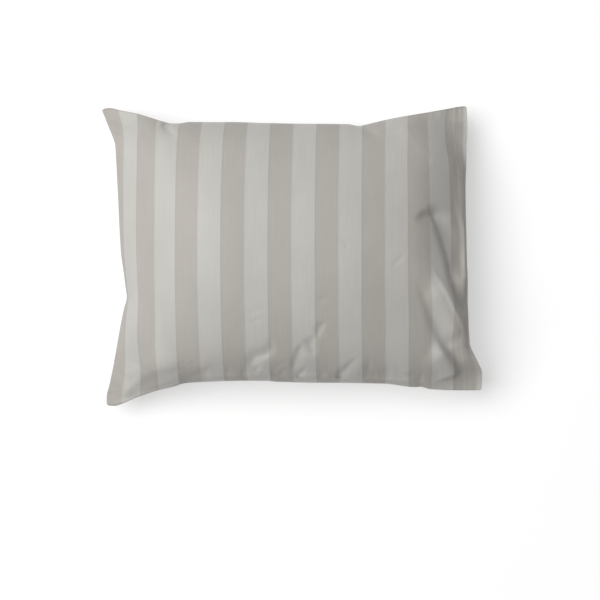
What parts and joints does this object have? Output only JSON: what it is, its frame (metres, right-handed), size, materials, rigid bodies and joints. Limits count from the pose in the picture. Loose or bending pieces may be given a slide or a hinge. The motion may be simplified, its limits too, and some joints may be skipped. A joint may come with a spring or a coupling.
{
  "type": "filled satin pillowcase",
  "caption": "Striped satin pillowcase with its pillow in it, lying on its back: a crowned cushion with flat ears, side seams and a hemmed mouth.",
  "frame": {"origin": "under the middle of the filled case, on the surface that it rests on", "axes": "+X from the closed end to the mouth along the long side, +Y up the short side, +Z out of the front"},
  "size_m": [0.595, 0.4704, 0.1946],
  "materials": {
    "satin": "satin with tone-on-tone stripes"
  },
  "bodies": {
    "root": {"pillowcase": "satin"}
  },
  "joints": []
}
